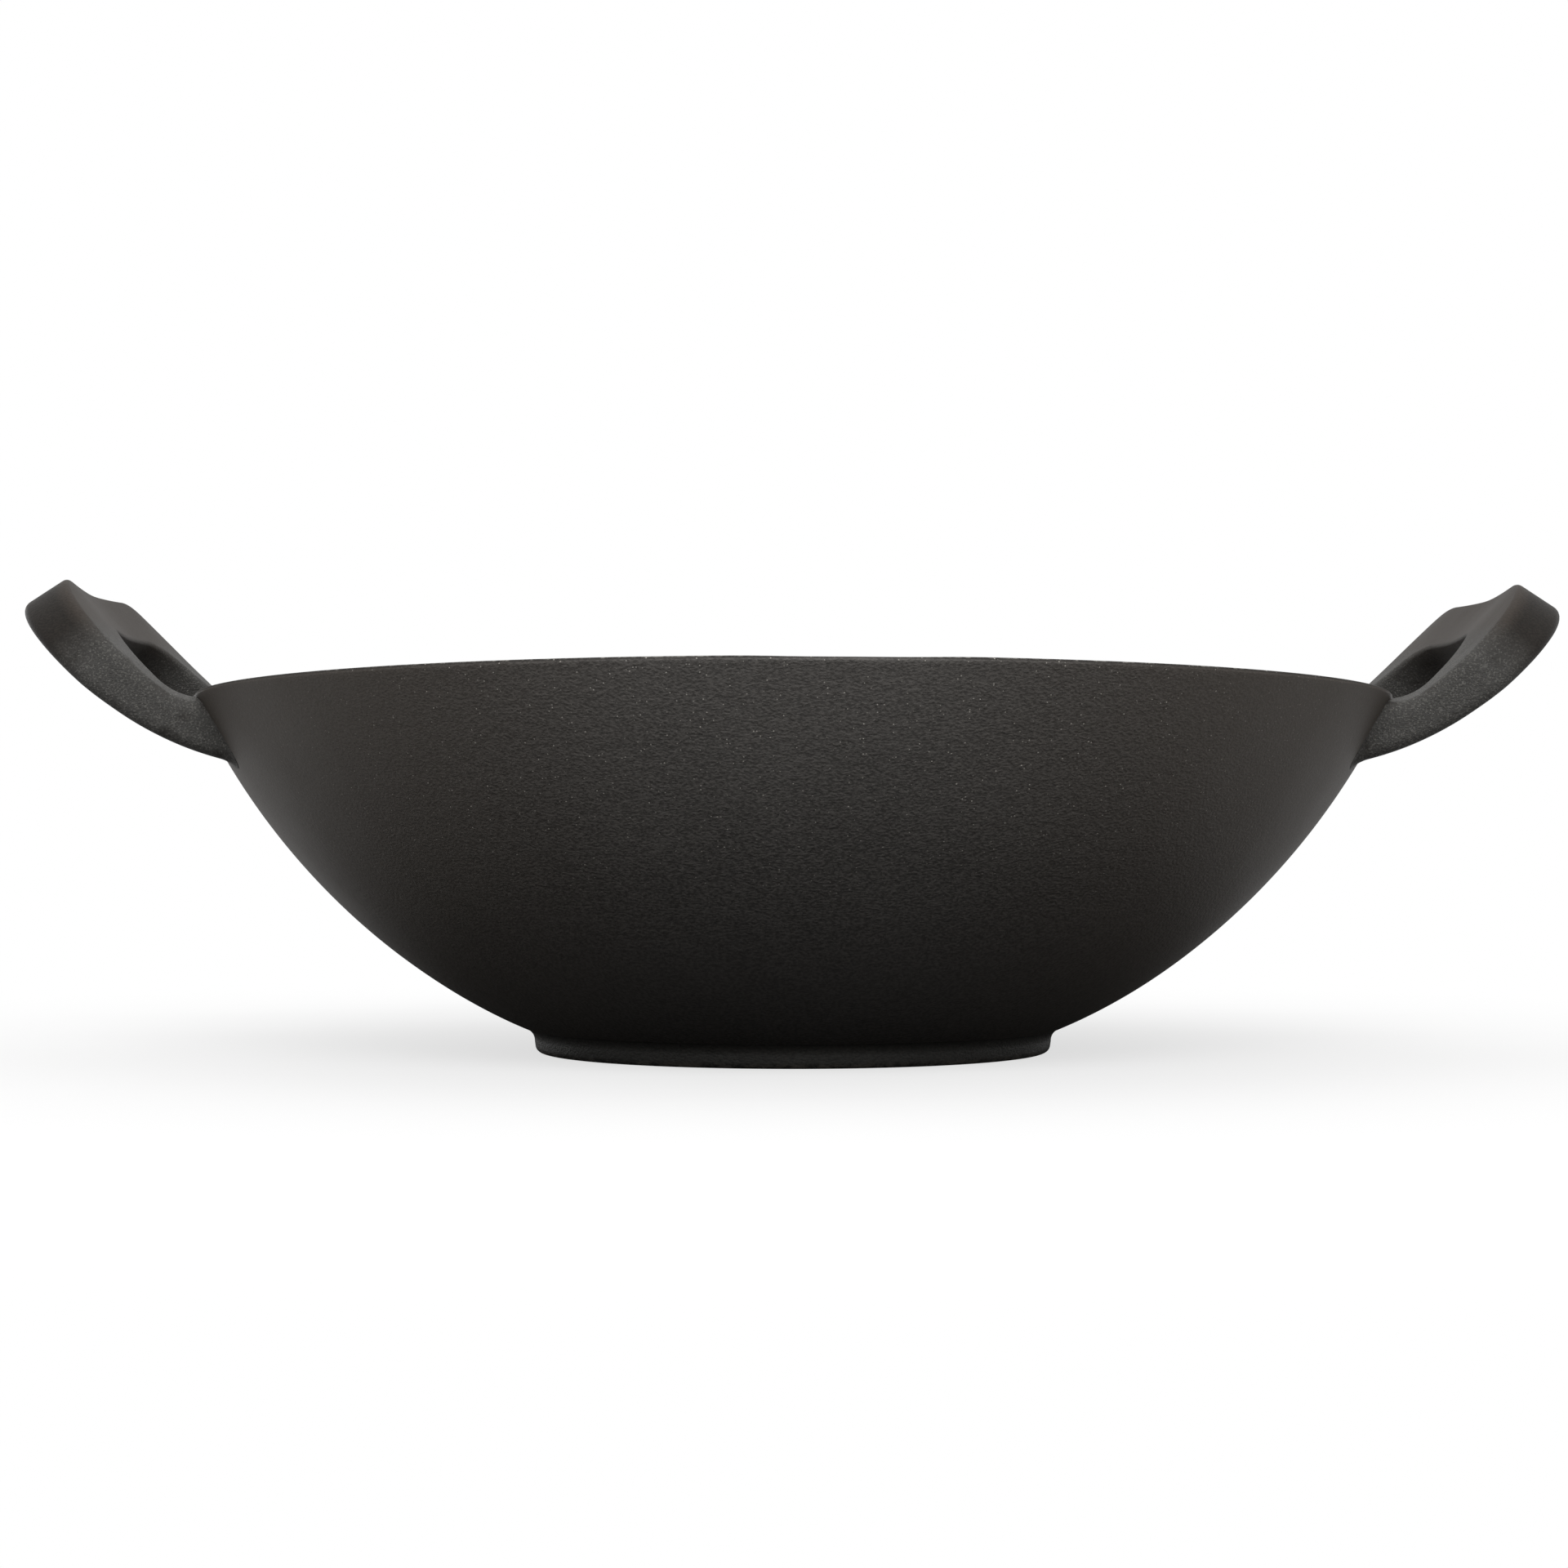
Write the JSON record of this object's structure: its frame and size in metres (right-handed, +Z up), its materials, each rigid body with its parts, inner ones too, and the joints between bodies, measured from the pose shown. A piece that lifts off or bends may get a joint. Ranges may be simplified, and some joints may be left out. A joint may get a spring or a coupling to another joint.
{
  "type": "wok",
  "caption": "Deep round wok with flat base, low round foot and upswept loop handles left and right, for stir-frying on a stove.",
  "frame": {"origin": "on the surface that the wok stands on, under the middle of the bowl", "axes": "+X towards the right handle, so that X runs through both handles, +Y away from the viewer in the picture, +Z up along the bowl's axis"},
  "size_m": [0.446, 0.3556, 0.1392],
  "materials": {
    "seasoned_iron": "matte seasoned casting with a fine grain",
    "seasoned_iron_handles": "matte seasoned casting with a coarser grain on the arms"
  },
  "bodies": {
    "root": {"bowl": "seasoned_iron", "foot_ring": "seasoned_iron", "left_handle": "seasoned_iron_handles", "right_handle": "seasoned_iron_handles"}
  },
  "joints": []
}
